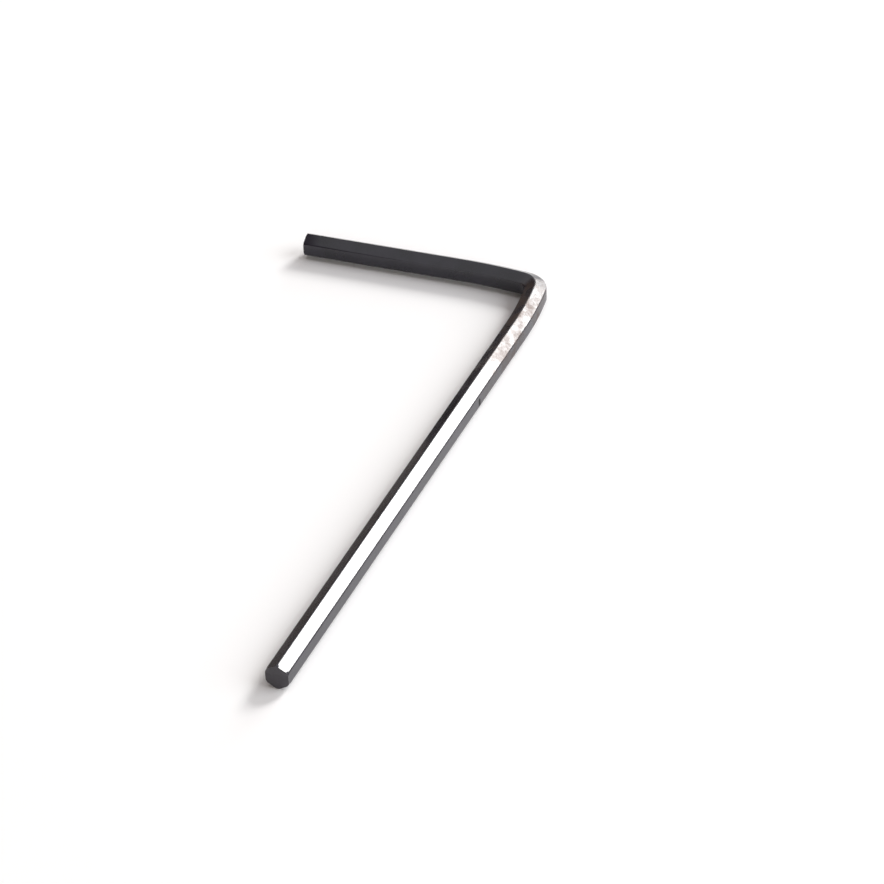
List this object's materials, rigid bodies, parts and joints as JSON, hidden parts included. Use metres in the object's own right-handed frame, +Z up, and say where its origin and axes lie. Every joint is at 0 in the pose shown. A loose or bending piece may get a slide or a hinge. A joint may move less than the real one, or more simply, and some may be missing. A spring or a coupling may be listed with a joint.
{
  "type": "hex key",
  "caption": "L-shaped key of hexagonal steel bar: long straight leg, square bend, short leg and chamfered tips that drive hexagon sockets.",
  "frame": {"origin": "under the middle of the key's outline, on the surface that it lies on", "axes": "+Z up; the long leg runs along Y with its tip at -Y; the short leg runs along X with its tip at -X"},
  "size_m": [0.0185, 0.047, 0.0017],
  "materials": {
    "black_oxide_steel": "black oxide over drawn bar, semi-gloss, with a pale mottled scale at the bend"
  },
  "bodies": {
    "root": {"hex_key": "black_oxide_steel"}
  },
  "joints": []
}
